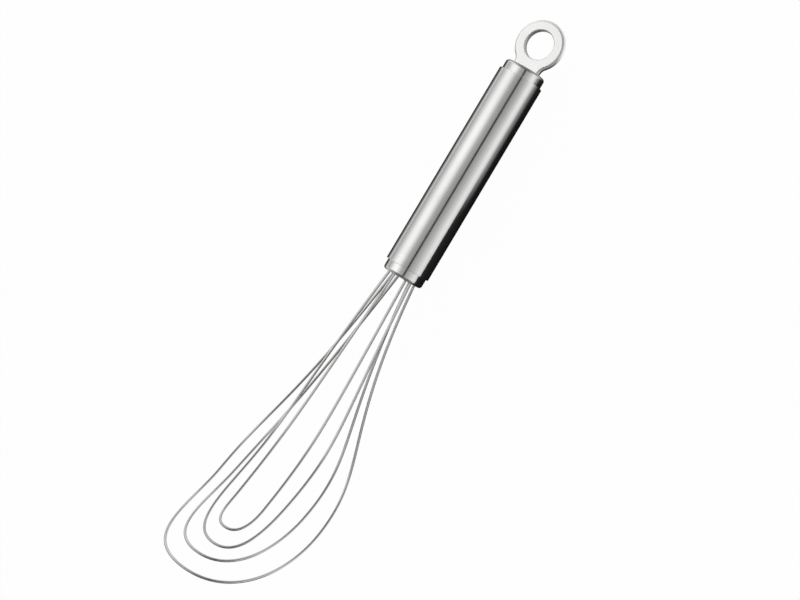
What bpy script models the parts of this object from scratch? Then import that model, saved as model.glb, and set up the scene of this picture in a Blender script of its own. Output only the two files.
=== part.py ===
"""Flat whisk: a round steel handle with a hanging ring, and four nested wire loops that curve upwards.

The handle's axis lies along Y, with the ring towards +Y and the loops towards -Y. The loops curve up
towards +Z, and the two sides mirror each other about X = 0. The handle rests on Z = 0.
"""

from math import atan2, cos, pi, radians, sin, sqrt, tan

import bmesh
import bpy
from mathutils import Matrix, Vector
from mathutils.geometry import interpolate_bezier

# Sizes are in metres. Angles are in radians, and slopes are rise over run.
PART_GAP = 0.0003           # clearance between two pieces that seat on each other

# Handle tube
TUBE_DIAMETER = 0.0200
TUBE_WALL = 0.0006
TUBE_LENGTH = 0.0925
TUBE_LIP_RADIUS = 0.00028

# Drawn end caps, one pressed into each end of the tube
CAP_WALL = 0.0006
CAP_PROUD = 0.0045          # how far a cap stands out of the tube
CAP_SKIRT = 0.0090          # how far it reaches into the tube
CAP_EDGE_RADIUS = 0.0013

# Hanging ring, stamped from flat bar, with a neck and a tang
RING_DIAMETER = 0.0222
RING_HOLE_DIAMETER = 0.0128
RING_THICKNESS = 0.0030
RING_EDGE_RADIUS = 0.0012
NECK_HEIGHT = 0.0006        # straight stretch between the cap and the neck's fillets
NECK_FILLET_RADIUS = 0.0040
TANG_WIDTH = 0.0130
TANG_DEPTH = 0.0080

# Wire legs, in two rows of four holes
WIRE_DIAMETER = 0.0012
ROW_SPACING = 0.0041
INNER_HOLE_SPACING = 0.0060
OUTER_HOLE_SPACING = 0.0113
WIRE_LIFT = 0.04            # slope at which every leg leaves the handle's line

# Bored insert in the wire end's cap, and the potting behind it
HOLDER_RECESS = 0.0025      # how far the insert stays inside the cap's rim
HOLDER_EDGE_RADIUS = 0.0006
RESIN_DEPTH = 0.0080        # how far the potting reaches past the cap's rim
RESIN_EDGE_RADIUS = 0.0006
WIRE_ANCHOR = 0.0050        # how far each wire end reaches into the potting

# Half width of the loops, from the inner one outwards
INNER_HALF_WIDTH = 0.0072
INNER_TO_THIRD_SIDE = 0.0063
THIRD_TO_SECOND_SIDE = 0.0061
SECOND_TO_OUTER_SIDE = 0.0081

# Reach of the loops' tips from the cap's face, from the inner one outwards
INNER_REACH = 0.1244
INNER_TO_THIRD_TIP = 0.0077
THIRD_TO_SECOND_TIP = 0.0052
SECOND_TO_OUTER_TIP = 0.0077

# Length of each loop's bow, from its widest point to its tip, along the handle's line
INNER_BOW = 0.0134
THIRD_BOW = 0.0291
SECOND_BOW = 0.0313
OUTER_BOW = 0.0360

# Height of each loop above the handle's axis, and its slope there, at its widest point
INNER_SIDE_RISE = 0.0148
THIRD_SIDE_RISE = 0.0097
SECOND_SIDE_RISE = 0.0035
OUTER_SIDE_RISE = 0.0002
INNER_SIDE_SLOPE = 0.34
THIRD_SIDE_SLOPE = 0.42
SECOND_SIDE_SLOPE = 0.46
OUTER_SIDE_SLOPE = 0.36

# Height of each loop's tip above the handle's axis
INNER_TIP_RISE = 0.0232
THIRD_TIP_RISE = 0.0253
SECOND_TIP_RISE = 0.0337
OUTER_TIP_RISE = 0.0373

# Slope at which each loop's legs spread sideways from the cap
INNER_SPLAY = 0.053
THIRD_SPLAY = 0.101
SECOND_SPLAY = 0.123
OUTER_SPLAY = 0.122

# Fullness of the loops' curves, as shares of the stretch that each handle controls
FLANK_START_PULL = 0.64
FLANK_END_PULL = 0.29
BOW_START_PULL = 0.55
TIP_PULL = 0.93

# Fineness of the faceted solids
TURNED_STEPS = 48
FILLET_STEPS = 3            # on a rounding wider than FINE_RADIUS, and one fewer on a finer one
FINE_RADIUS = 0.0005
SLOT_CORNER_STEPS = 3
RING_STEPS = 20
FLANK_STEPS = 24
BOW_STEPS = 15
WIRE_BEVEL_RESOLUTION = 3
PASSAGE_SIDES = 14

# Sizes that follow from the ones above
TUBE_RADIUS = TUBE_DIAMETER / 2
BORE_RADIUS = TUBE_RADIUS - TUBE_WALL
CAP_RADIUS = BORE_RADIUS - PART_GAP
CAP_BORE_RADIUS = CAP_RADIUS - CAP_WALL
CAP_HEIGHT = CAP_PROUD + CAP_SKIRT
HOLDER_TOP = -CAP_WALL - PART_GAP
HOLDER_BOTTOM = -CAP_HEIGHT + HOLDER_RECESS
WIRE_END = HOLDER_BOTTOM - WIRE_ANCHOR
HANDLE_LENGTH = TUBE_LENGTH + 2 * CAP_PROUD
WIRE_RADIUS = WIRE_DIAMETER / 2
PASSAGE_RADIUS = WIRE_RADIUS + PART_GAP

THIRD_HALF_WIDTH = INNER_HALF_WIDTH + INNER_TO_THIRD_SIDE
SECOND_HALF_WIDTH = THIRD_HALF_WIDTH + THIRD_TO_SECOND_SIDE
OUTER_HALF_WIDTH = SECOND_HALF_WIDTH + SECOND_TO_OUTER_SIDE
THIRD_REACH = INNER_REACH + INNER_TO_THIRD_TIP
SECOND_REACH = THIRD_REACH + THIRD_TO_SECOND_TIP
OUTER_REACH = SECOND_REACH + SECOND_TO_OUTER_TIP

RING_RADIUS = RING_DIAMETER / 2
NECK_FILLET_OFFSET = TANG_WIDTH / 2 + NECK_FILLET_RADIUS
RING_CENTRE = NECK_HEIGHT + sqrt((RING_RADIUS + NECK_FILLET_RADIUS) ** 2 - NECK_FILLET_OFFSET ** 2)
OVERALL_LENGTH = RING_CENTRE + RING_RADIUS + HANDLE_LENGTH + OUTER_REACH + WIRE_RADIUS


class Loop:
    """One wire loop: its two holes, and the points that its curve passes through."""

    def __init__(self, name, row, hole_spacing, splay, half_width, reach, bow, side_rise, side_slope, tip_rise):
        self.name = name
        self.hole = Vector((hole_spacing / 2, row * ROW_SPACING / 2, 0))
        self.leg_slope = Vector((splay, WIRE_LIFT, 1))
        self.widest = Vector((half_width, side_rise, reach - bow))
        self.side_slope = Vector((0, side_slope, 1))
        self.tip = Vector((0, tip_rise, reach))
        self.bow = bow

    def leg_end(self):
        """The point in the potting where the wire ends."""
        return self.hole + self.leg_slope * WIRE_END

    def right_half(self):
        """Points from the wire's end in the potting to the loop's tip."""
        flank_length = self.widest.z - self.hole.z
        flank = interpolate_bezier(
            self.hole,
            self.hole + self.leg_slope * flank_length * FLANK_START_PULL,
            self.widest - self.side_slope * flank_length * FLANK_END_PULL,
            self.widest,
            FLANK_STEPS + 1)
        bow = interpolate_bezier(
            self.widest,
            self.widest + self.side_slope * self.bow * BOW_START_PULL,
            self.tip + Vector((self.widest.x * TIP_PULL, 0, 0)),
            self.tip,
            BOW_STEPS + 1)
        return [self.leg_end()] + flank + bow[1:]

    def path(self):
        """The whole wire: the right half, then its mirror image back to the other leg's end."""
        right = self.right_half()
        left = [Vector((-point.x, point.y, point.z)) for point in reversed(right[:-1])]
        return right + left


BACK_ROW = -1
FRONT_ROW = 1
LOOPS = [
    Loop("outer_loop", BACK_ROW, OUTER_HOLE_SPACING, OUTER_SPLAY, OUTER_HALF_WIDTH, OUTER_REACH,
         OUTER_BOW, OUTER_SIDE_RISE, OUTER_SIDE_SLOPE, OUTER_TIP_RISE),
    Loop("second_loop", BACK_ROW, INNER_HOLE_SPACING, SECOND_SPLAY, SECOND_HALF_WIDTH, SECOND_REACH,
         SECOND_BOW, SECOND_SIDE_RISE, SECOND_SIDE_SLOPE, SECOND_TIP_RISE),
    Loop("third_loop", FRONT_ROW, OUTER_HOLE_SPACING, THIRD_SPLAY, THIRD_HALF_WIDTH, THIRD_REACH,
         THIRD_BOW, THIRD_SIDE_RISE, THIRD_SIDE_SLOPE, THIRD_TIP_RISE),
    Loop("inner_loop", FRONT_ROW, INNER_HOLE_SPACING, INNER_SPLAY, INNER_HALF_WIDTH, INNER_REACH,
         INNER_BOW, INNER_SIDE_RISE, INNER_SIDE_SLOPE, INNER_TIP_RISE),
]


def remove_objects():
    """Empty the scene, so that the script can be run again."""
    for item in list(bpy.data.objects):
        bpy.data.objects.remove(item, do_unlink=True)


def new_collection(name):
    """A fresh collection under the scene's own."""
    old = bpy.data.collections.get(name)
    if old:
        bpy.data.collections.remove(old)
    collection = bpy.data.collections.new(name)
    bpy.context.scene.collection.children.link(collection)
    return collection


def new_material(name, colour, metallic, roughness):
    """A Principled material for one piece."""
    material = bpy.data.materials.new(name)
    material.use_nodes = True
    shader = material.node_tree.nodes["Principled BSDF"]
    shader.inputs["Base Color"].default_value = (*colour, 1)
    shader.inputs["Metallic"].default_value = metallic
    shader.inputs["Roughness"].default_value = roughness
    material.diffuse_color = (*colour, 1)
    return material


def steel(name, brightness, roughness):
    """Bare stainless steel of the given brightness."""
    return new_material(name, (brightness, brightness, brightness), 1.0, roughness)


def add_piece(name, data, parent, material):
    """Put one piece of the whisk in the model, on the empty that places it."""
    piece = bpy.data.objects.new(name, data)
    piece.parent = parent
    data.materials.append(material)
    pieces.objects.link(piece)
    return piece


def add_cutter(name, mesh, parent):
    """Put a shape that only cuts in the collection of cutters."""
    cutter = bpy.data.objects.new(name, mesh)
    cutter.parent = parent
    cutter.hide_render = True
    cutter.display_type = 'WIRE'
    cutters.objects.link(cutter)
    return cutter


def cut(piece, cutter):
    """Take a cutter's shape out of a piece."""
    boolean = piece.modifiers.new("cut_" + cutter.name, 'BOOLEAN')
    boolean.operation = 'DIFFERENCE'
    boolean.solver = 'EXACT'
    boolean.object = cutter


def weight_normals(piece):
    """Shade flats flat and rounds round."""
    piece.modifiers.new("face_weighted_shading", 'WEIGHTED_NORMAL')


def arc(centre, radius, start, sweep, steps):
    """Points along an arc, both ends included."""
    angles = [start + sweep * step / steps for step in range(steps + 1)]
    return [Vector((centre[0] + radius * cos(angle), centre[1] + radius * sin(angle))) for angle in angles]


def fillet(before, corner, after, radius):
    """Points of the arc that rounds one corner of an outline."""
    to_before = (before - corner).normalized()
    to_after = (after - corner).normalized()
    half_angle = to_before.angle(to_after) / 2
    centre = corner + (to_before + to_after).normalized() * radius / sin(half_angle)
    start = corner + to_before * radius / tan(half_angle) - centre
    end = corner + to_after * radius / tan(half_angle) - centre
    sweep = atan2(start.x * end.y - start.y * end.x, start.dot(end))
    steps = FILLET_STEPS if radius > FINE_RADIUS else FILLET_STEPS - 1
    return arc(centre, radius, atan2(start.y, start.x), sweep, steps)


def rounded_outline(corners):
    """Turn corners, each (radius, height, rounding), into points, with a rounding of 0 left sharp."""
    places = [Vector(corner[:2]) for corner in corners]
    points = []
    for index, (_, _, rounding) in enumerate(corners):
        if rounding > 0:
            following = places[(index + 1) % len(places)]
            points += fillet(places[index - 1], places[index], following, rounding)
        else:
            points.append(places[index])
    return points


def add_turned(name, corners, closed, parent, material):
    """A piece turned about its own Z axis from an outline that runs down its outer side."""
    outline = rounded_outline(corners)
    edges = [(index, index + 1) for index in range(len(outline) - 1)]
    if closed:
        edges.append((len(outline) - 1, 0))
    mesh = bpy.data.meshes.new(name)
    mesh.from_pydata([(point.x, 0, point.y) for point in outline], edges, [])
    piece = add_piece(name, mesh, parent, material)
    screw = piece.modifiers.new("turn", 'SCREW')
    screw.axis = 'Z'
    screw.steps = TURNED_STEPS
    screw.render_steps = TURNED_STEPS
    screw.use_merge_vertices = True
    screw.merge_threshold = 0.00001
    screw.use_smooth_shade = True
    return piece


def add_handle_tube(parent):
    """The grip: a plain tube, open at both ends, with softened lips."""
    top = -CAP_PROUD
    bottom = top - TUBE_LENGTH
    corners = [
        (TUBE_RADIUS, top, TUBE_LIP_RADIUS),
        (TUBE_RADIUS, bottom, TUBE_LIP_RADIUS),
        (BORE_RADIUS, bottom, TUBE_LIP_RADIUS),
        (BORE_RADIUS, top, TUBE_LIP_RADIUS),
    ]
    tube = add_turned("handle_tube", corners, True, parent, steel("brushed_tube", 0.62, 0.28))
    weight_normals(tube)


def add_cap(name, parent):
    """A drawn cup whose face looks along its parent's +Z axis and whose skirt fits the tube's bore."""
    inner_edge_radius = max(CAP_EDGE_RADIUS - CAP_WALL, CAP_WALL / 4)
    rim_radius = CAP_WALL / 3
    corners = [
        (0, 0, 0),
        (CAP_RADIUS, 0, CAP_EDGE_RADIUS),
        (CAP_RADIUS, -CAP_HEIGHT, rim_radius),
        (CAP_BORE_RADIUS, -CAP_HEIGHT, rim_radius),
        (CAP_BORE_RADIUS, -CAP_WALL, inner_edge_radius),
        (0, -CAP_WALL, 0),
    ]
    return add_turned(name, corners, False, parent, steel(name + "_steel", 0.60, 0.26))


def ring_outline():
    """The ring's outer outline, from the tang's left foot round the ring to its right foot."""
    half_tang = TANG_WIDTH / 2
    tilt = atan2(RING_CENTRE - NECK_HEIGHT, NECK_FILLET_OFFSET)
    left_fillet = arc((-NECK_FILLET_OFFSET, NECK_HEIGHT), NECK_FILLET_RADIUS, 0, tilt, 2 * FILLET_STEPS)
    ring = arc((0, RING_CENTRE), RING_RADIUS, pi + tilt, -pi - 2 * tilt, 2 * RING_STEPS)
    right_fillet = [Vector((-point.x, point.y)) for point in reversed(left_fillet)]
    feet = [Vector((half_tang, -TANG_DEPTH)), Vector((-half_tang, -TANG_DEPTH))]
    return left_fillet + ring[1:-1] + right_fillet + feet


def add_outline(curve, points):
    """Add a closed straight-sided spline to a flat curve."""
    spline = curve.splines.new('POLY')
    spline.points.add(len(points) - 1)
    for spline_point, point in zip(spline.points, points):
        spline_point.co = (point.x, point.y, 0, 1)
    spline.use_cyclic_u = True


def add_hanging_ring(parent):
    """A flat eye to hang the whisk from, with rounded edges and a tang that goes through the cap."""
    curve = bpy.data.curves.new("hanging_ring", 'CURVE')
    curve.dimensions = '2D'
    curve.fill_mode = 'BOTH'
    curve.extrude = RING_THICKNESS / 2 - RING_EDGE_RADIUS
    curve.bevel_depth = RING_EDGE_RADIUS
    curve.bevel_resolution = 2
    curve.offset = -RING_EDGE_RADIUS
    add_outline(curve, ring_outline())
    add_outline(curve, arc((0, RING_CENTRE), RING_HOLE_DIAMETER / 2, 0, 2 * pi, 2 * RING_STEPS)[:-1])
    ring = add_piece("hanging_ring", curve, parent, steel("ring_steel", 0.70, 0.35))
    ring.rotation_euler = (radians(90), 0, 0)


def tang_slot(parent):
    """The slot that the ring's tang goes through: the tang's rounded section, grown by the clearance."""
    bm = bmesh.new()
    size = (TANG_WIDTH + 2 * PART_GAP, RING_THICKNESS + 2 * PART_GAP, 4 * CAP_WALL)
    bmesh.ops.create_cube(bm, size=1, matrix=Matrix.Diagonal((*size, 1)))
    corners = [edge for edge in bm.edges if abs(edge.verts[0].co.z - edge.verts[1].co.z) > CAP_WALL]
    bmesh.ops.bevel(bm, geom=corners, offset=RING_EDGE_RADIUS + PART_GAP, segments=SLOT_CORNER_STEPS,
                    profile=0.5, affect='EDGES')
    mesh = bpy.data.meshes.new("tang_slot")
    bm.to_mesh(mesh)
    bm.free()
    return add_cutter("tang_slot", mesh, parent)


def wire_passages(parent):
    """A round passage along every leg, a clearance wider than the wire, from the potting to the open air."""
    bm = bmesh.new()
    for loop in LOOPS:
        for side in (1, -1):
            mirror = Vector((side, 1, 1))
            direction = (loop.leg_slope * mirror).normalized()
            outer = loop.hole * mirror + direction * 2 * WIRE_DIAMETER
            inner = loop.leg_end() * mirror - direction * PART_GAP
            turn = direction.to_track_quat('Z', 'Y').to_matrix().to_4x4()
            place = Matrix.Translation((outer + inner) / 2) @ turn
            bmesh.ops.create_cone(bm, cap_ends=True, segments=PASSAGE_SIDES, radius1=PASSAGE_RADIUS,
                                  radius2=PASSAGE_RADIUS, depth=(outer - inner).length, matrix=place)
    mesh = bpy.data.meshes.new("wire_passages")
    bm.to_mesh(mesh)
    bm.free()
    return add_cutter("wire_passages", mesh, parent)


def add_wire_holder(parent):
    """The bored insert behind the cap's face, which holds the legs in their two rows."""
    radius = CAP_BORE_RADIUS - PART_GAP
    top_rounding = max(CAP_EDGE_RADIUS - CAP_WALL, HOLDER_EDGE_RADIUS)
    corners = [
        (0, HOLDER_TOP, 0),
        (radius, HOLDER_TOP, top_rounding),
        (radius, HOLDER_BOTTOM, HOLDER_EDGE_RADIUS),
        (0, HOLDER_BOTTOM, 0),
    ]
    material = new_material("holder_nylon", (0.75, 0.74, 0.70), 0.0, 0.5)
    return add_turned("wire_holder", corners, False, parent, material)


def add_resin_seal(parent):
    """The potting poured in behind the insert: it fills the cap's rim and then the tube's bore."""
    neck_radius = CAP_BORE_RADIUS - PART_GAP
    body_radius = BORE_RADIUS - PART_GAP
    top = HOLDER_BOTTOM - PART_GAP
    shoulder = -CAP_HEIGHT - PART_GAP
    bottom = shoulder - RESIN_DEPTH
    corners = [
        (0, top, 0),
        (neck_radius, top, 0),
        (neck_radius, shoulder, 0),
        (body_radius, shoulder, 0),
        (body_radius, bottom, RESIN_EDGE_RADIUS),
        (0, bottom, 0),
    ]
    material = new_material("potting_resin", (0.30, 0.24, 0.16), 0.0, 0.35)
    return add_turned("resin_seal", corners, False, parent, material)


def add_loop(loop, parent):
    """One unbroken wire, from its end in the potting out through its hole, round and back."""
    curve = bpy.data.curves.new(loop.name, 'CURVE')
    curve.dimensions = '3D'
    curve.bevel_depth = WIRE_RADIUS
    curve.bevel_resolution = WIRE_BEVEL_RESOLUTION
    curve.use_fill_caps = True
    path = loop.path()
    spline = curve.splines.new('POLY')
    spline.points.add(len(path) - 1)
    for spline_point, point in zip(spline.points, path):
        spline_point.co = (*point, 1)
    spline.use_smooth = True
    add_piece(loop.name, curve, parent, steel(loop.name + "_wire", 0.55, 0.22))


def add_station(name, y, tilt):
    """An empty on the handle's axis, with +Z pointing out of the handle."""
    station = bpy.data.objects.new(name, None)
    station.location = (0, y, TUBE_RADIUS)
    station.rotation_euler = (tilt, 0, 0)
    pieces.objects.link(station)
    return station


def add_wire_end(station):
    """Everything that is placed from the face of the wire end's cap."""
    passages = wire_passages(station)
    for piece in (add_cap("whisk_end_cap", station), add_wire_holder(station), add_resin_seal(station)):
        cut(piece, passages)
        weight_normals(piece)
    for loop in LOOPS:
        add_loop(loop, station)


def add_ring_end(station):
    """Everything that is placed from the face of the ring end's cap."""
    cap = add_cap("ring_end_cap", station)
    cut(cap, tang_slot(station))
    weight_normals(cap)
    add_hanging_ring(station)


remove_objects()
pieces = new_collection("flat_whisk")
cutters = new_collection("cutters")
wire_face_y = -OVERALL_LENGTH / 2 + OUTER_REACH + WIRE_RADIUS
wire_station = add_station("wire_end_station", wire_face_y, radians(90))
ring_station = add_station("ring_end_station", wire_face_y + HANDLE_LENGTH, radians(-90))
add_handle_tube(wire_station)
add_wire_end(wire_station)
add_ring_end(ring_station)
bpy.context.view_layer.update()
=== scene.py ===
from math import atan2, cos, pi, radians, sin, tan

import bmesh
import bpy
from mathutils import Matrix, Vector


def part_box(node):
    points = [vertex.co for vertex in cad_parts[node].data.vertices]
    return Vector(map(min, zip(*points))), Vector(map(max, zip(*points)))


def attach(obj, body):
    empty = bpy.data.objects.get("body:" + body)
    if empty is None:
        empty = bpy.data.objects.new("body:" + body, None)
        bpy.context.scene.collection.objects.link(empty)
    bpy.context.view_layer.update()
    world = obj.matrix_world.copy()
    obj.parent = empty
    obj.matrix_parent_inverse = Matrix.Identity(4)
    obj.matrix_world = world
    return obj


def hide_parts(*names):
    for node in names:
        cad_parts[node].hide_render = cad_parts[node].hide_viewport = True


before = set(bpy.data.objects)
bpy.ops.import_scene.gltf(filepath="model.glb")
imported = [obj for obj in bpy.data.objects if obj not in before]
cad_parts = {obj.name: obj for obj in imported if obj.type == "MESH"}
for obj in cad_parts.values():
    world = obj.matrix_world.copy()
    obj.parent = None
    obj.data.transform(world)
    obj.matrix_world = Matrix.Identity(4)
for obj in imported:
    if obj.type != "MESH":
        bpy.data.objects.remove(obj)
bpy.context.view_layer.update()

# The handle tube is a length of thin-walled stainless tube, cut square at both ends. It is ground on a belt
# while it turns, which leaves fine lines round it and an even satin sheen, and its lips are dulled so that
# they don't cut. The caps are pressed into its ends.
tube_low, tube_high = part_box("handle_tube")
tube_radius = (tube_high.x - tube_low.x) / 2
axis_height = (tube_high.z + tube_low.z) / 2
tube_wall = 0.0006
tube_lip_radius = 0.00012
round_sides = 160
smooth_angle = radians(40)
square_on = 0.9
same_place = 1e-6
turned_brightness = 0.70
fine_bump_depth = 0.00002


def add_round_bar(name, radius, low, high, sides):
    """A plain round bar on the handle's axis between two places along Y, with its place in its mesh."""
    bpy.ops.object.select_all(action='DESELECT')
    bpy.ops.mesh.primitive_cylinder_add(
        vertices=sides, radius=radius, depth=high - low,
        location=(0, (low + high) / 2, axis_height), rotation=(pi / 2, 0, 0))
    bar = bpy.context.object
    bar.name = name
    bar.data.name = name
    bpy.ops.object.transform_apply(location=True, rotation=True, scale=True)
    return bar


def select_where(kind, wanted):
    """In edit mode, select the faces or edges for which wanted is true, and nothing else."""
    bpy.ops.mesh.select_mode(type=kind)
    bpy.ops.mesh.select_all(action='DESELECT')
    shape = bmesh.from_edit_mesh(bpy.context.object.data)
    for item in list(shape.faces if kind == 'FACE' else shape.edges):
        if wanted(item):
            item.select_set(True)
    bmesh.update_edit_mesh(bpy.context.object.data)


def lies_round(edge, y):
    """Whether an edge runs round the handle's axis at one place along Y."""
    distances = [(Vector((0, corner.co.y, axis_height)) - corner.co).length for corner in edge.verts]
    level = all(abs(corner.co.y - y) < same_place for corner in edge.verts)
    even = abs(distances[0] - distances[1]) < same_place
    return level and even


def apply_modifiers(piece):
    """Work every modifier of the piece into its mesh."""
    bpy.context.view_layer.objects.active = piece
    for modifier in list(piece.modifiers):
        bpy.ops.object.modifier_apply(modifier=modifier.name)


def shade(piece):
    """Shade rounds smooth and keep flats flat."""
    bpy.ops.object.select_all(action='DESELECT')
    piece.select_set(True)
    bpy.context.view_layer.objects.active = piece
    bpy.ops.object.shade_smooth_by_angle(angle=smooth_angle)
    piece.modifiers.new("flats", 'WEIGHTED_NORMAL').keep_sharp = True
    apply_modifiers(piece)


def add_node(tree, kind, sockets=None, **settings):
    """A shader node with its settings, and with each named socket set to a value or fed from a socket."""
    node = tree.nodes.new("ShaderNode" + kind)
    for name, value in settings.items():
        setattr(node, name, value)
    for name, value in (sockets or {}).items():
        if isinstance(value, bpy.types.NodeSocket):
            tree.links.new(value, node.inputs[name])
        else:
            node.inputs[name].default_value = value
    return node


def new_group(name, inputs, outputs):
    """An empty node group with float inputs and the given outputs, and its input and output nodes."""
    group = bpy.data.node_groups.new(name, 'ShaderNodeTree')
    for label in inputs:
        group.interface.new_socket(label, in_out='INPUT', socket_type='NodeSocketFloat')
    for label, kind in outputs.items():
        group.interface.new_socket(label, in_out='OUTPUT', socket_type='NodeSocket' + kind)
    return group, group.nodes.new("NodeGroupInput"), group.nodes.new("NodeGroupOutput")


def math_node(tree, operation, *values):
    """The output of a Math node on one, two or three values or sockets."""
    return add_node(tree, "Math", dict(enumerate(values)), operation=operation).outputs[0]


def smooth_step(tree, value, limits, start=0.0, end=1.0):
    """A smooth change from start to end while the value goes from the low limit to the high one."""
    low, high = limits
    change = {"Value": value, "From Min": low, "From Max": high, "To Min": start, "To Max": end}
    return add_node(tree, "MapRange", change, interpolation_type='SMOOTHSTEP').outputs["Result"]


def build_turned_lines():
    """The lines that a belt or a lathe leaves round the handle's axis, on its sides and on its ends."""
    group, given, result = new_group("turned_lines", ["Spacing"], {"Lines": 'Float'})
    change_round = 1.6
    place = add_node(group, "TexCoord").outputs["Object"]
    centred = add_node(group, "VectorMath", {0: place, 1: (0, 0, -axis_height)}, operation='ADD').outputs[0]
    parts = add_node(group, "SeparateXYZ", {0: centred})
    across = add_node(group, "CombineXYZ", {"X": parts.outputs["X"], "Z": parts.outputs["Z"]}).outputs[0]
    around = add_node(group, "VectorMath", {0: across}, operation='NORMALIZE').outputs[0]
    radius = add_node(group, "VectorMath", {0: across}, operation='LENGTH').outputs["Value"]
    along = math_node(group, 'DIVIDE', parts.outputs["Y"], given.outputs["Spacing"])
    turn = add_node(group, "VectorMath", {0: around, "Scale": change_round}, operation='SCALE').outputs[0]
    split = add_node(group, "SeparateXYZ", {0: turn})
    corners = {"X": split.outputs["X"], "Y": along, "Z": split.outputs["Z"]}
    where = add_node(group, "CombineXYZ", corners).outputs[0]
    depth = math_node(group, 'DIVIDE', radius, given.outputs["Spacing"])
    grain = {"Vector": where, "W": depth, "Scale": 1.0, "Detail": 3.0, "Roughness": 0.7}
    noise = add_node(group, "TexNoise", grain, noise_dimensions='4D')
    group.links.new(noise.outputs["Fac"], result.inputs["Lines"])
    return group


def build_rounded_edges():
    """1 on the roundings of a piece that is square to an axis, and 0 on its flats."""
    group, given, result = new_group("rounded_edges", [], {"Mask": 'Float'})
    axis = group.interface.new_socket("Axis", in_out='INPUT', socket_type='NodeSocketVector')
    normal = add_node(group, "TexCoord").outputs["Normal"]
    both = {0: normal, 1: given.outputs[axis.name]}
    facing = add_node(group, "VectorMath", both, operation='DOT_PRODUCT').outputs["Value"]
    end_on = math_node(group, 'ABSOLUTE', facing)
    squared = math_node(group, 'POWER', end_on, 2.0)
    side_on = math_node(group, 'SQRT', math_node(group, 'SUBTRACT', 1.0, squared))
    slanted = math_node(group, 'MINIMUM', end_on, side_on)
    slant_limits = (0.1, 0.6)
    group.links.new(smooth_step(group, slanted, slant_limits), result.inputs["Mask"])
    return group


def build_bare_steel():
    """The tone and roughness of bare steel: lines, faint blotches, and edges that are polished brighter, or
    dull and darkened with painted shade.
    """
    noise_middle = 0.5
    blotch_scale = 70.0
    blotch_strength = 0.06
    blotch_tone = 0.5
    blue_share = 0.99
    inputs = ["Brightness", "Roughness", "Lines", "Line Strength", "Edges", "Polish And Painted Shade"]
    group, given, result = new_group("bare_steel", inputs, {"Color": 'Color', "Roughness": 'Float'})
    place = add_node(group, "TexCoord").outputs["Object"]
    spots = {"Vector": place, "Scale": blotch_scale, "Detail": 2.0}
    blotches = add_node(group, "TexNoise", spots).outputs["Fac"]
    centred = math_node(group, 'SUBTRACT', blotches, noise_middle)
    uneven = math_node(group, 'MULTIPLY', centred, blotch_strength)
    lines = math_node(group, 'SUBTRACT', given.outputs["Lines"], noise_middle)
    streaks = math_node(group, 'MULTIPLY', lines, given.outputs["Line Strength"])
    # The edge amount is signed. On the tube's lips it is a real polish that brightens them. On the caps it
    # is painted shade that darkens their rounded rims.
    polish_and_painted_shade = math_node(group, 'MULTIPLY', given.outputs["Edges"], given.outputs["Polish And Painted Shade"])
    dull = math_node(group, 'MULTIPLY', uneven, blotch_tone)
    change = math_node(group, 'SUBTRACT', math_node(group, 'ADD', streaks, polish_and_painted_shade), dull)
    tone = math_node(group, 'ADD', given.outputs["Brightness"], change)
    warm = math_node(group, 'MULTIPLY', tone, blue_share)
    colour = add_node(group, "CombineColor", {"Red": tone, "Green": tone, "Blue": warm})
    rougher = math_node(group, 'SUBTRACT', math_node(group, 'ADD', uneven, streaks), polish_and_painted_shade)
    rough = math_node(group, 'ADD', given.outputs["Roughness"], rougher)
    group.links.new(colour.outputs["Color"], result.inputs["Color"])
    group.links.new(rough, result.inputs["Roughness"])
    return group


turned_lines = build_turned_lines()
rounded_edges = build_rounded_edges()
bare_steel = build_bare_steel()


def new_finish(name):
    """A new material, with its node tree and its Principled shader."""
    material = bpy.data.materials.new(name)
    material.use_nodes = True
    return material, material.node_tree, material.node_tree.nodes["Principled BSDF"]


def turned_steel(name, roughness, spacing, anisotropy, polish_and_painted_shade):
    """Stainless steel with fine lines round the handle's axis and a sheen that stretches across them."""
    line_tone = 0.05
    line_bump_strength = 0.15
    quarter_turn = 0.25
    material, tree, shader = new_finish(name)
    lines = add_node(tree, "Group", node_tree=turned_lines)
    lines.inputs["Spacing"].default_value = spacing
    edges = add_node(tree, "Group", node_tree=rounded_edges)
    edges.inputs["Axis"].default_value = (0, 1, 0)
    steel = add_node(tree, "Group", node_tree=bare_steel)
    steel.inputs["Brightness"].default_value = turned_brightness
    steel.inputs["Roughness"].default_value = roughness
    steel.inputs["Line Strength"].default_value = line_tone
    steel.inputs["Polish And Painted Shade"].default_value = polish_and_painted_shade
    tree.links.new(lines.outputs["Lines"], steel.inputs["Lines"])
    tree.links.new(edges.outputs["Mask"], steel.inputs["Edges"])
    relief = {"Height": lines.outputs["Lines"], "Strength": line_bump_strength, "Distance": fine_bump_depth}
    bump = add_node(tree, "Bump", relief)
    tangent = add_node(tree, "Tangent", direction_type='RADIAL', axis='Y')
    shader.inputs["Metallic"].default_value = 1.0
    shader.inputs["Anisotropic"].default_value = anisotropy
    shader.inputs["Anisotropic Rotation"].default_value = quarter_turn
    tree.links.new(steel.outputs["Color"], shader.inputs["Base Color"])
    tree.links.new(steel.outputs["Roughness"], shader.inputs["Roughness"])
    tree.links.new(bump.outputs["Normal"], shader.inputs["Normal"])
    tree.links.new(tangent.outputs["Tangent"], shader.inputs["Tangent"])
    return material


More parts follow.
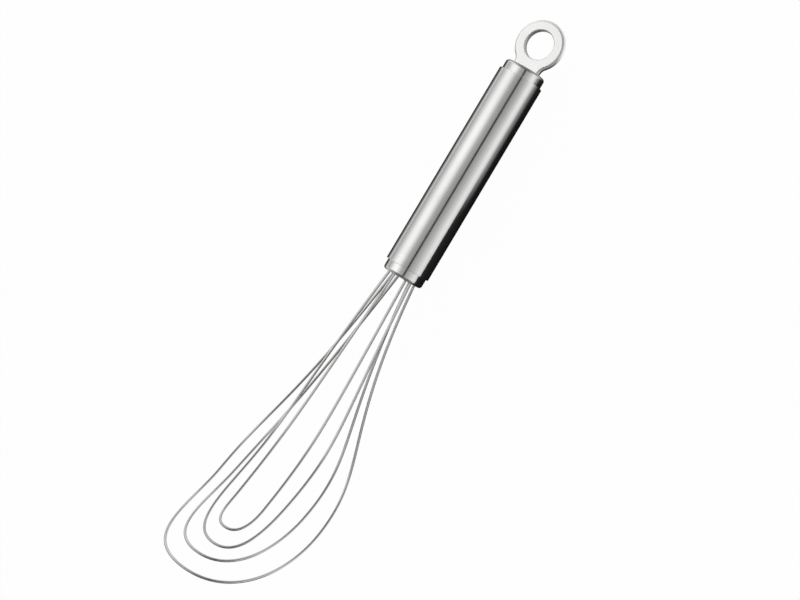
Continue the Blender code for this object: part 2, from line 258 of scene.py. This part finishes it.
tube = add_round_bar("ground_handle_tube", tube_radius, tube_low.y, tube_high.y, round_sides)
bpy.ops.object.mode_set(mode='EDIT')
select_where('FACE', lambda face: abs(face.normal.y) > square_on)
bpy.ops.mesh.inset(thickness=tube_wall)
bpy.ops.mesh.bridge_edge_loops()
select_where('EDGE', lambda edge: lies_round(edge, tube_low.y) or lies_round(edge, tube_high.y))
bpy.ops.mesh.bevel(offset=tube_lip_radius, segments=3, affect='EDGES')
bpy.ops.mesh.select_all(action='SELECT')
bpy.ops.mesh.normals_make_consistent(inside=False)
bpy.ops.object.mode_set(mode='OBJECT')
shade(tube)
tube_steel = turned_steel("ground_tube_steel", roughness=0.20, spacing=0.0005, anisotropy=0.92, polish_and_painted_shade=0.06)
tube.data.materials.append(tube_steel)
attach(tube, "root")
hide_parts("handle_tube")

# The ring end's cap is a cup drawn from thin stainless sheet and pressed into the tube. Its side and face
# are turned smooth, its drawn edge is left round and dull and is darkened with painted shade, and a slot
# in the face lets the ring's tang through.
cap_wall = 0.0006
cap_edge_radius = 0.0013
ring_cap_low, ring_cap_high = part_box("ring_end_cap")
cap_radius = (ring_cap_high.x - ring_cap_low.x) / 2
slot_clearance = 0.0003
slot_cut_depth = 4 * cap_wall
tang_width = 0.0130
tang_edge_radius = 0.0012
cap_roughness = 0.20
cap_line_spacing = 0.0004
cap_anisotropy = 0.85


def add_cup(name, mouth, face):
    """A drawn cup on the handle's axis, open at its mouth and closed at its rounded face."""
    cup = add_round_bar(name, cap_radius, min(mouth, face), max(mouth, face), round_sides)
    bpy.ops.object.mode_set(mode='EDIT')
    select_where('FACE', lambda side: (abs(side.normal.y) > square_on
                                       and abs(side.verts[0].co.y - mouth) < same_place))
    bpy.ops.mesh.delete(type='FACE')
    select_where('EDGE', lambda edge: lies_round(edge, face))
    bpy.ops.mesh.bevel(offset=cap_edge_radius, segments=8, affect='EDGES')
    bpy.ops.object.mode_set(mode='OBJECT')
    wall = cup.modifiers.new("wall", 'SOLIDIFY')
    wall.thickness = cap_wall
    wall.offset = -1
    wall.use_even_offset = True
    apply_modifiers(cup)
    return cup


def cut_out(piece, cutter):
    """Take the cutter out of the piece, and remove the cutter."""
    hole = piece.modifiers.new("hole", 'BOOLEAN')
    hole.operation = 'DIFFERENCE'
    hole.solver = 'EXACT'
    hole.object = cutter
    apply_modifiers(piece)
    bpy.data.objects.remove(cutter)


ring_low, ring_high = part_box("hanging_ring")
ring_thickness = ring_high.z - ring_low.z
ring_cap = add_cup("turned_ring_end_cap", ring_cap_low.y, ring_cap_high.y)
bpy.ops.mesh.primitive_cube_add(size=1, location=(0, ring_cap_high.y, axis_height))
slot_cutter = bpy.context.object
slot_cutter.scale = (tang_width + 2 * slot_clearance, slot_cut_depth, ring_thickness + 2 * slot_clearance)
bpy.ops.object.transform_apply(location=True, rotation=True, scale=True)
bpy.ops.object.mode_set(mode='EDIT')
select_where('EDGE', lambda edge: abs(edge.verts[0].co.y - edge.verts[1].co.y) > cap_wall)
bpy.ops.mesh.bevel(offset=tang_edge_radius + slot_clearance, segments=6, affect='EDGES')
bpy.ops.object.mode_set(mode='OBJECT')
cut_out(ring_cap, slot_cutter)
shade(ring_cap)
# The negative amount is painted shade: it darkens the colour of the cap's rounded rim.
ring_cap_steel = turned_steel(
    "turned_ring_cap_steel", cap_roughness, cap_line_spacing, cap_anisotropy, polish_and_painted_shade=-0.30)
ring_cap.data.materials.append(ring_cap_steel)
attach(ring_cap, "root")
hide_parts("ring_end_cap")

# The hanging ring is stamped from thick stainless bar as an eye with a short flared neck and a tang. It is
# ground until its outer edges are round, punched, tumbled to a fine, pale satin, and fixed in the cap's
# slot.
ring_radius = (ring_high.x - ring_low.x) / 2
ring_hole_radius = 0.0064
hole_edge_radius = 0.0005
hole_edge_steps = 4
neck_height = 0.0006
neck_fillet_radius = 0.0040
tang_corner_radius = 0.0014
straight_pull = 0.67
merge_distance = 0.00001
flat_angle = radians(0.1)
ring_centre = ring_high.y - ring_radius


def add_flat_spline(curve, knots):
    """A closed smooth outline in a flat curve, from knots of (place, handle before, handle after)."""
    spline = curve.splines.new('BEZIER')
    spline.bezier_points.add(len(knots) - 1)
    spline.use_cyclic_u = True
    for point, (place, before, after) in zip(spline.bezier_points, knots):
        point.handle_left_type = 'FREE'
        point.handle_right_type = 'FREE'
        point.co = (*place, 0)
        point.handle_left = (*before, 0)
        point.handle_right = (*after, 0)


def arc_knots(centre, radius, start, end, pieces):
    """Knots of a circular arc, as (place, handle before, handle after), from one angle to another."""
    step = (end - start) / pieces
    pull = 4 / 3 * tan(step / 4) * radius
    knots = []
    for index in range(pieces + 1):
        angle = start + step * index
        place = Vector((centre[0] + radius * cos(angle), centre[1] + radius * sin(angle)))
        tangent = Vector((-sin(angle), cos(angle))) * pull
        knots.append((place, place - tangent, place + tangent))
    return knots


def ring_outline():
    """The eye's outer outline with its neck and tang, as seen from above."""
    offset = tang_width / 2 + neck_fillet_radius
    foot = ring_cap_high.y + neck_height
    tilt = atan2(ring_centre - foot, offset)
    right = arc_knots((offset, foot), neck_fillet_radius, pi, pi - tilt, 1)
    eye = arc_knots((0, ring_centre), ring_radius, -tilt, pi + tilt, 6)
    left = arc_knots((-offset, foot), neck_fillet_radius, tilt, 0, 1)
    inset = tang_width / 2 - tang_corner_radius
    level = ring_low.y + tang_corner_radius
    left_corner = arc_knots((-inset, level), tang_corner_radius, pi, 3 * pi / 2, 1)
    right_corner = arc_knots((inset, level), tang_corner_radius, 3 * pi / 2, 2 * pi, 1)
    join_right = (eye[0][0], right[-1][1], eye[0][2])
    join_left = (eye[-1][0], eye[-1][1], left[0][2])
    start = (right[0][0], right_corner[1][0].lerp(right[0][0], straight_pull), right[0][2])
    finish = (left[-1][0], left[-1][1], left_corner[0][0].lerp(left[-1][0], straight_pull))
    return [start, join_right] + eye[1:-1] + [join_left, finish] + left_corner + right_corner


ring_curve = bpy.data.curves.new("satin_hanging_ring", 'CURVE')
ring_curve.dimensions = '2D'
ring_curve.fill_mode = 'BOTH'
ring_curve.resolution_u = 20
ring_curve.extrude = ring_thickness / 2 - tang_edge_radius
ring_curve.bevel_depth = tang_edge_radius
ring_curve.bevel_resolution = 5
ring_curve.offset = -tang_edge_radius
add_flat_spline(ring_curve, ring_outline())
ring = bpy.data.objects.new("satin_hanging_ring", ring_curve)
bpy.context.collection.objects.link(ring)
ring.location.z = axis_height
bpy.ops.object.select_all(action='DESELECT')
ring.select_set(True)
bpy.context.view_layer.objects.active = ring
bpy.ops.object.convert(target='MESH')
bpy.ops.object.transform_apply(location=True, rotation=True, scale=True)
bpy.ops.object.mode_set(mode='EDIT')
bpy.ops.mesh.select_all(action='SELECT')
bpy.ops.mesh.remove_doubles(threshold=merge_distance)
bpy.ops.mesh.dissolve_degenerate()
bpy.ops.mesh.dissolve_limited(angle_limit=flat_angle)
bpy.ops.mesh.normals_make_consistent(inside=False)
bpy.ops.object.mode_set(mode='OBJECT')


def add_punch(radius, edge_radius, thickness):
    """A round punch through the eye that widens at both faces, so that the hole's edges come out round."""
    overshoot = thickness / 4
    bpy.ops.object.select_all(action='DESELECT')
    bpy.ops.mesh.primitive_cylinder_add(
        vertices=round_sides, radius=radius, depth=thickness - 2 * edge_radius,
        location=(0, ring_centre, axis_height))
    bpy.ops.object.transform_apply(location=True, rotation=True, scale=True)
    bpy.ops.object.mode_set(mode='EDIT')
    turns = [pi / 2 * step / hole_edge_steps for step in range(hole_edge_steps + 1)]
    for side in (1, -1):
        select_where('FACE', lambda face: face.normal.z * side > square_on and len(face.verts) > 4)
        for before, after in zip(turns, turns[1:]):
            rise = edge_radius * (sin(after) - sin(before))
            wider = (radius + edge_radius * (1 - cos(after))) / (radius + edge_radius * (1 - cos(before)))
            bpy.ops.mesh.extrude_region_move(TRANSFORM_OT_translate={"value": (0, 0, side * rise)})
            bpy.ops.transform.resize(value=(wider, wider, 1), center_override=(0, ring_centre, 0))
        bpy.ops.mesh.extrude_region_move(TRANSFORM_OT_translate={"value": (0, 0, side * overshoot)})
    bpy.ops.mesh.select_all(action='SELECT')
    bpy.ops.mesh.normals_make_consistent(inside=False)
    bpy.ops.object.mode_set(mode='OBJECT')
    return bpy.context.object


cut_out(ring, add_punch(ring_hole_radius, hole_edge_radius, ring_thickness))
shade(ring)


def satin_steel(name, brightness, roughness, edge_dulling):
    """Tumbled stainless steel: an even, fine satin without a direction, duller on its rounded edges."""
    pit_scale = 4000.0
    pit_tone = 0.03
    pit_bump_strength = 0.01
    material, tree, shader = new_finish(name)
    place = add_node(tree, "TexCoord").outputs["Object"]
    pits = add_node(tree, "TexNoise", {"Vector": place, "Scale": pit_scale, "Detail": 3.0}).outputs["Fac"]
    edges = add_node(tree, "Group", node_tree=rounded_edges)
    edges.inputs["Axis"].default_value = (0, 0, 1)
    steel = add_node(tree, "Group", node_tree=bare_steel)
    steel.inputs["Brightness"].default_value = brightness
    steel.inputs["Roughness"].default_value = roughness
    steel.inputs["Line Strength"].default_value = pit_tone
    tree.links.new(pits, steel.inputs["Lines"])
    rough = math_node(tree, 'MULTIPLY_ADD', edges.outputs["Mask"], edge_dulling, steel.outputs["Roughness"])
    relief = {"Height": pits, "Strength": pit_bump_strength, "Distance": fine_bump_depth}
    bump = add_node(tree, "Bump", relief)
    shader.inputs["Metallic"].default_value = 1.0
    tree.links.new(steel.outputs["Color"], shader.inputs["Base Color"])
    tree.links.new(rough, shader.inputs["Roughness"])
    tree.links.new(bump.outputs["Normal"], shader.inputs["Normal"])
    return material


ring_steel = satin_steel("satin_ring_steel", brightness=0.87, roughness=0.36, edge_dulling=0.25)
ring.data.materials.append(ring_steel)
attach(ring, "root")
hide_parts("hanging_ring")

# The whisk end's cap is the same drawn cup, with a little less painted shade on its rounded edge. Its face
# has eight round holes in two rows, one for each leg of the loops, drilled along the legs' own directions.
whisk_cap_low, whisk_cap_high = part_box("whisk_end_cap")
face_y = whisk_cap_low.y
hole_radius = 0.0009
drill_sides = 40
drill_length = 6 * cap_wall
row_spacing = 0.0041
inner_hole_spacing = 0.0060
outer_hole_spacing = 0.0113
wire_lift = 0.04


class Loop:
    """One bent wire: its hole's place, the slope of its legs, its widest point and its tip."""

    def __init__(self, name, row, hole_spacing, splay, half_width, reach, bow,
                 side_rise, side_slope, tip_rise):
        self.name = name
        self.hole = Vector((hole_spacing / 2, face_y, axis_height + row * row_spacing / 2))
        self.leg_slope = Vector((splay, -1, wire_lift))
        self.widest = Vector((half_width, face_y - reach + bow, axis_height + side_rise))
        self.side_slope = Vector((0, -1, side_slope))
        self.tip = Vector((0, face_y - reach, axis_height + tip_rise))
        self.bow = bow


loops = [
    Loop("outer_loop", row=-1, hole_spacing=outer_hole_spacing, splay=0.122, half_width=0.0277,
         reach=0.1450, bow=0.0360, side_rise=0.0002, side_slope=0.36, tip_rise=0.0373),
    Loop("second_loop", row=-1, hole_spacing=inner_hole_spacing, splay=0.123, half_width=0.0196,
         reach=0.1373, bow=0.0313, side_rise=0.0035, side_slope=0.46, tip_rise=0.0337),
    Loop("third_loop", row=1, hole_spacing=outer_hole_spacing, splay=0.101, half_width=0.0135,
         reach=0.1321, bow=0.0291, side_rise=0.0097, side_slope=0.42, tip_rise=0.0253),
    Loop("inner_loop", row=1, hole_spacing=inner_hole_spacing, splay=0.053, half_width=0.0072,
         reach=0.1244, bow=0.0134, side_rise=0.0148, side_slope=0.34, tip_rise=0.0232),
]

whisk_cap = add_cup("turned_whisk_end_cap", whisk_cap_high.y, whisk_cap_low.y)
for loop in loops:
    for side in (1, -1):
        mirror = Vector((side, 1, 1))
        direction = (loop.leg_slope * mirror).normalized()
        bpy.ops.mesh.primitive_cylinder_add(
            vertices=drill_sides, radius=hole_radius, depth=drill_length, location=loop.hole * mirror,
            rotation=direction.to_track_quat('Z', 'Y').to_euler())
        cut_out(whisk_cap, bpy.context.object)
shade(whisk_cap)
# The negative amount is painted shade: it darkens the colour of the cap's rounded rim, less than on the
# ring end's cap.
whisk_cap_steel = turned_steel(
    "turned_whisk_cap_steel", cap_roughness, cap_line_spacing, cap_anisotropy, polish_and_painted_shade=-0.20)
whisk_cap.data.materials.append(whisk_cap_steel)
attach(whisk_cap, "root")
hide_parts("whisk_end_cap")


# The wire holder is a moulded nylon insert behind the cap's face, with a passage for each leg. It is out of
# sight but for what shows through the gaps round the wires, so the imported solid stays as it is.
def plain_moulding(name, colour, roughness, mottle_scale, mottle):
    """A moulded or cast material with a faint mottle in its colour and its gloss."""
    gloss_change = 0.08
    material, tree, shader = new_finish(name)
    place = add_node(tree, "TexCoord").outputs["Object"]
    clouds = {"Vector": place, "Scale": mottle_scale, "Detail": 4.0}
    cloud = add_node(tree, "TexNoise", clouds).outputs["Fac"]
    ramp = add_node(tree, "ValToRGB", {"Fac": cloud})
    ramp.color_ramp.elements[0].color = (*(value * (1 - mottle) for value in colour), 1)
    ramp.color_ramp.elements[1].color = (*(value * (1 + mottle) for value in colour), 1)
    spread = {"Value": cloud, "To Min": roughness - gloss_change, "To Max": roughness + gloss_change}
    gloss = add_node(tree, "MapRange", spread)
    tree.links.new(ramp.outputs["Color"], shader.inputs["Base Color"])
    tree.links.new(gloss.outputs["Result"], shader.inputs["Roughness"])
    return material


holder_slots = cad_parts["wire_holder"].material_slots
holder_slots[0].material = plain_moulding(
    "moulded_nylon", colour=(0.75, 0.74, 0.70), roughness=0.5, mottle_scale=900.0, mottle=0.05)

# The resin seal is poured in behind the holder, round the wires' ends, and keeps water out of the tube. It
# is wholly inside the handle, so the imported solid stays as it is.
seal_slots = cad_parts["resin_seal"].material_slots
seal_slots[0].material = plain_moulding(
    "cast_resin", colour=(0.30, 0.24, 0.16), roughness=0.35, mottle_scale=500.0, mottle=0.12)

# The loops are spring wire, drawn, straightened and polished. Each is one length, bent to its outline and
# curved upwards towards the tip, with both legs run through the cap and the holder into the resin.
wire_radius = 0.00058
leg_depth = 0.0160
flank_start_pull = 0.64
flank_end_pull = 0.29
bow_start_pull = 0.55
tip_pull = 0.93


def wire_knots(loop):
    """Half of a loop's knots, from a leg's end to the tip, as (place, handle before, handle after)."""
    leg_end = loop.hole - loop.leg_slope * leg_depth
    flank_length = loop.hole.y - loop.widest.y
    leg = (loop.hole - leg_end) / 3
    return [
        (leg_end, leg_end - leg, leg_end + leg),
        (loop.hole, loop.hole - leg, loop.hole + loop.leg_slope * flank_length * flank_start_pull),
        (loop.widest, loop.widest - loop.side_slope * flank_length * flank_end_pull,
         loop.widest + loop.side_slope * loop.bow * bow_start_pull),
        (loop.tip, loop.tip + Vector((loop.widest.x * tip_pull, 0, 0)),
         loop.tip - Vector((loop.widest.x * tip_pull, 0, 0))),
    ]


def add_wire(name, loop):
    """A round wire bent along a loop's knots, made a mesh with its place in it."""
    half = wire_knots(loop)
    mirror = Vector((-1, 1, 1))
    way_back = reversed(half[:-1])
    other = [(place * mirror, after * mirror, before * mirror) for place, before, after in way_back]
    curve = bpy.data.curves.new(name, 'CURVE')
    curve.dimensions = '3D'
    curve.resolution_u = 48
    curve.bevel_depth = wire_radius
    curve.bevel_resolution = 9
    curve.use_fill_caps = True
    spline = curve.splines.new('BEZIER')
    spline.bezier_points.add(len(half) + len(other) - 1)
    for point, (place, before, after) in zip(spline.bezier_points, half + other):
        point.handle_left_type = 'FREE'
        point.handle_right_type = 'FREE'
        point.co = place
        point.handle_left = before
        point.handle_right = after
    wire = bpy.data.objects.new(name, curve)
    bpy.context.collection.objects.link(wire)
    bpy.ops.object.select_all(action='DESELECT')
    wire.select_set(True)
    bpy.context.view_layer.objects.active = wire
    bpy.ops.object.convert(target='MESH')
    bpy.ops.object.mode_set(mode='EDIT')
    bpy.ops.mesh.select_all(action='SELECT')
    bpy.ops.mesh.remove_doubles(threshold=merge_distance)
    bpy.ops.mesh.normals_make_consistent(inside=False)
    bpy.ops.object.mode_set(mode='OBJECT')
    shade(wire)
    return wire


def drawn_wire(name, brightness, roughness):
    """Polished spring wire, with faint blotches and draw marks."""
    mark_scale = (2500, 150, 2500)
    mark_tone = 0.03
    material, tree, shader = new_finish(name)
    place = add_node(tree, "TexCoord").outputs["Object"]
    stretched = add_node(tree, "Mapping", {"Vector": place, "Scale": mark_scale}).outputs[0]
    marks = add_node(tree, "TexNoise", {"Vector": stretched, "Scale": 1.0, "Detail": 2.0}).outputs["Fac"]
    steel = add_node(tree, "Group", node_tree=bare_steel)
    steel.inputs["Brightness"].default_value = brightness
    steel.inputs["Roughness"].default_value = roughness
    steel.inputs["Line Strength"].default_value = mark_tone
    tree.links.new(marks, steel.inputs["Lines"])
    shader.inputs["Metallic"].default_value = 1.0
    tree.links.new(steel.outputs["Color"], shader.inputs["Base Color"])
    tree.links.new(steel.outputs["Roughness"], shader.inputs["Roughness"])
    return material


wire_steel = drawn_wire("drawn_wire_steel", brightness=0.54, roughness=0.16)
for loop in loops:
    wire = add_wire("polished_" + loop.name, loop)
    wire.data.materials.append(wire_steel)
    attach(wire, "root")
    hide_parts(loop.name)

# The studio is a white floor under a soft light tent. Its light lies in long bands along the handle, and
# overhead it is darker beyond both ends, as where a camera and a stand are. Black paper lies beside the
# handle and before the loops.
floor_size = 4.0
floor_drop = 0.0002
floor_glow = 0.98
floor_grey = 0.95
floor_roughness = 0.9
paper_grey = 0.025
bpy.ops.mesh.primitive_plane_add(size=floor_size, location=(0, 0, -floor_drop))
floor = bpy.context.object
floor.name = "floor"
floor_material, tree, paint = new_finish("pale_floor")
paint.inputs["Base Color"].default_value = (floor_grey, floor_grey, floor_grey, 1)
paint.inputs["Roughness"].default_value = floor_roughness
glow = add_node(tree, "Emission", {"Color": (1, 1, 1, 1), "Strength": 1.0})
rays = add_node(tree, "LightPath").outputs
mirrored = math_node(tree, 'MAXIMUM', rays["Is Glossy Ray"], rays["Is Transmission Ray"])
seen = math_node(tree, 'MAXIMUM', rays["Is Camera Ray"], mirrored)
share = math_node(tree, 'MULTIPLY', seen, floor_glow)
blend = add_node(tree, "MixShader", {0: share, 1: paint.outputs[0], 2: glow.outputs[0]})
tree.links.new(blend.outputs[0], tree.nodes["Material Output"].inputs["Surface"])
floor.data.materials.append(floor_material)


def follow(tree, value, levels, top=1.0):
    """A grey that follows a value through (value, level) pairs, as a share of the top level."""
    low, high = levels[0][0], levels[-1][0]
    span = {"Value": value, "From Min": low, "From Max": high}
    share = add_node(tree, "MapRange", span).outputs["Result"]
    ramp = add_node(tree, "ValToRGB", {"Fac": share})
    stops = ramp.color_ramp.elements
    stops.remove(stops[1])
    for index, (place, level) in enumerate(levels):
        position = (place - low) / (high - low)
        stop = stops.new(position) if index else stops[0]
        stop.position = position
        stop.color = (level / top, level / top, level / top, 1)
    return ramp.outputs["Color"]


def lay_paper(name, low, high, darkness):
    """Black paper on the floor from one corner to the other, which shows only where steel mirrors it."""
    bpy.ops.mesh.primitive_plane_add(size=1, location=(low + high) / 2)
    paper = bpy.context.object
    paper.name = name
    paper.scale = (high.x - low.x, high.y - low.y, 1)
    paper.location.z = -floor_drop / 2
    bpy.ops.object.transform_apply(location=True, rotation=True, scale=True)
    paper.visible_camera = False
    paper.visible_diffuse = False
    paper.visible_shadow = False
    paper.visible_transmission = False
    material, tree, paint = new_finish(name)
    paint.inputs["Base Color"].default_value = (paper_grey, paper_grey, paper_grey, 1)
    paint.inputs["Roughness"].default_value = 1.0
    place = add_node(tree, "SeparateXYZ", {0: add_node(tree, "TexCoord").outputs["Object"]}).outputs
    clear = add_node(tree, "BsdfTransparent")
    blend = add_node(tree, "MixShader", {
        0: darkness(tree, place["X"], place["Y"]), 1: clear.outputs[0], 2: paint.outputs[0]})
    tree.links.new(blend.outputs[0], tree.nodes["Material Output"].inputs["Surface"])
    paper.data.materials.append(material)


# Beside the handle lies a piece on each side. The far edge of the right one is slanted at the ring's half,
# and it is cut back beside the ring, so that the ring's side mirrors the pale floor.
left_paper_low = Vector((-0.25, -0.02, 0))
left_paper_high = Vector((0.0, 0.145, 0))
left_of_handle = [
    (-0.25, 0.0), (-0.16, 0.36), (-0.10, 0.58), (-0.064, 0.78), (-0.035, 0.98), (0.0, 1.0),
]
left_paper_start = (-0.02, 0.01)
right_paper_low = Vector((0.0, -0.10, 0))
right_paper_high = Vector((0.14, 0.145, 0))
beside_whisk_half = [(0.0, 1.0), (0.070, 1.0), (0.078, 0.0), (0.14, 0.0)]
beside_ring_half = [
    (0.0, 1.0), (0.022, 1.0), (0.029, 0.87), (0.036, 0.75), (0.048, 0.68), (0.069, 0.38), (0.110, 0.06),
    (0.14, 0.0),
]
right_paper_start = (-0.088, -0.06)
halves_meet = (0.044, 0.068)
papers_end = (0.119, 0.139)
cut_side = (0.006, 0.010)
cut_start = (0.112, 0.128)


def lengthwise_fade(tree, y, start, end):
    """1 along a paper's middle, falling smoothly to 0 at its start and at its end."""
    return math_node(tree, 'MULTIPLY', smooth_step(tree, y, start), smooth_step(tree, y, end, 1.0, 0.0))


def left_darkness(tree, x, y):
    """How dark the paper on the handle's left is: it fades away from the handle and at both ends."""
    across = follow(tree, x, left_of_handle)
    return math_node(tree, 'MULTIPLY', across, lengthwise_fade(tree, y, left_paper_start, papers_end))


def right_darkness(tree, x, y):
    """How dark the paper on the handle's right is: each half has its own far edge, and both ends fade."""
    halves = {"Factor": smooth_step(tree, y, halves_meet),
              "A": follow(tree, x, beside_whisk_half),
              "B": follow(tree, x, beside_ring_half)}
    across = add_node(tree, "Mix", halves).outputs["Result"]
    cut = math_node(tree, 'MULTIPLY', smooth_step(tree, x, cut_side), smooth_step(tree, y, cut_start))
    kept = math_node(tree, 'MULTIPLY', across, math_node(tree, 'SUBTRACT', 1.0, cut))
    return math_node(tree, 'MULTIPLY', kept, lengthwise_fade(tree, y, right_paper_start, papers_end))


lay_paper("left_paper", left_paper_low, left_paper_high, left_darkness)
lay_paper("right_paper", right_paper_low, right_paper_high, right_darkness)

# Before the loops lies a third piece, wider than they are, which fades on the side that faces them.
front_paper_low = Vector((-0.20, -0.50, 0))
front_paper_high = Vector((0.20, -0.11, 0))
before_loops = (-0.14, -0.12)
front_paper_sides = (0.12, 0.20)


def front_darkness(tree, x, y):
    """How dark the paper before the loops is: it fades towards them and towards its sides."""
    sides = smooth_step(tree, math_node(tree, 'ABSOLUTE', x), front_paper_sides, 1.0, 0.0)
    return math_node(tree, 'MULTIPLY', sides, smooth_step(tree, y, before_loops, 1.0, 0.0))


lay_paper("front_paper", front_paper_low, front_paper_high, front_darkness)

# The tent's light by its direction round the handle's axis, in degrees from straight up, plus towards +X:
# in the middle, beyond the ring and beyond the loops. Straight beyond the ring is a bright opening.
bands = [
    (-180, 0.46), (-90, 0.46), (-76, 0.46), (-60, 0.86), (-45, 1.43), (-35, 1.64), (-26, 1.68), (-14, 1.40),
    (-3, 0.86), (5, 0.67), (17, 0.57), (21, 0.47), (22, 0.02), (30, 0.02), (31, 0.51), (38, 0.62),
    (50, 0.74), (64, 0.97), (78, 1.15), (90, 1.20), (180, 1.20),
]
beyond_ring = [
    (-180, 1.30), (-90, 1.30), (-60, 1.15), (-35, 0.50), (-10, 0.20), (25, 0.12), (45, 0.12), (65, 0.40),
    (80, 1.15), (90, 1.20), (180, 1.20),
]
beyond_loops = [
    (-180, 1.00), (-90, 1.00), (-60, 0.50), (-35, 0.28), (-10, 0.15), (25, 0.12), (45, 0.28), (65, 0.20),
    (80, 0.25), (90, 0.60), (180, 0.60),
]
bands_end = (0.13, 0.22)
ends_meet = (-0.05, 0.05)
ring_opening = (0.86, 0.95)
opening_light = 0.95
world = bpy.data.worlds.new("studio")
bpy.context.scene.world = world
world.use_nodes = True
tree = world.node_tree
direction = add_node(tree, "SeparateXYZ", {0: add_node(tree, "TexCoord").outputs["Generated"]}).outputs
angle = math_node(tree, 'DEGREES', math_node(tree, 'ARCTAN2', direction["X"], direction["Z"]))
peak = max(level for _, level in bands + beyond_ring + beyond_loops)
lengthwise = direction["Y"]
off_middle = math_node(tree, 'ABSOLUTE', lengthwise)
ends = add_node(tree, "Mix", {"Factor": smooth_step(tree, lengthwise, ends_meet),
                              "A": follow(tree, angle, beyond_loops, peak),
                              "B": follow(tree, angle, beyond_ring, peak)})
tent = add_node(tree, "Mix", {"Factor": smooth_step(tree, off_middle, bands_end),
                              "A": follow(tree, angle, bands, peak),
                              "B": ends.outputs["Result"]})
opening = add_node(tree, "Mix", {"Factor": smooth_step(tree, lengthwise, ring_opening),
                                 "A": tent.outputs["Result"],
                                 "B": opening_light / peak})
light = tree.nodes["Background"]
light.inputs["Strength"].default_value = peak
tree.links.new(opening.outputs["Result"], light.inputs["Color"])
white = add_node(tree, "Background", {"Color": (1, 1, 1, 1), "Strength": 1.0})
rays = add_node(tree, "LightPath").outputs
sky = add_node(tree, "MixShader", {0: rays["Is Camera Ray"], 1: light.outputs[0], 2: white.outputs[0]})
tree.links.new(sky.outputs[0], tree.nodes["World Output"].inputs["Surface"])

# The camera stands high on the whisk's right, 0.85 m away, and is turned so that the handle leans to the
# picture's upper right, as in the photograph.
camera_place = Vector((0.372407, 0.030199, 0.774073))
camera_aim = Vector((0.004522, 0.002609, 0.010098))
handle_lean = radians(30.8)
view = (camera_place - camera_aim).normalized()
along = (Vector((0, 1, 0)) - view * view.y).normalized()
up = Matrix.Rotation(handle_lean, 3, view) @ along
camera = bpy.data.objects.new("camera", bpy.data.cameras.new("camera"))
bpy.context.collection.objects.link(camera)
turn = Matrix((up.cross(view), up, view)).transposed().to_4x4()
camera.matrix_world = Matrix.Translation(camera_place) @ turn
camera.data.sensor_width = 36
camera.data.lens = 91.28
camera.data.clip_end = 20
bpy.context.scene.camera = camera
bpy.context.scene.view_settings.view_transform = 'Standard'
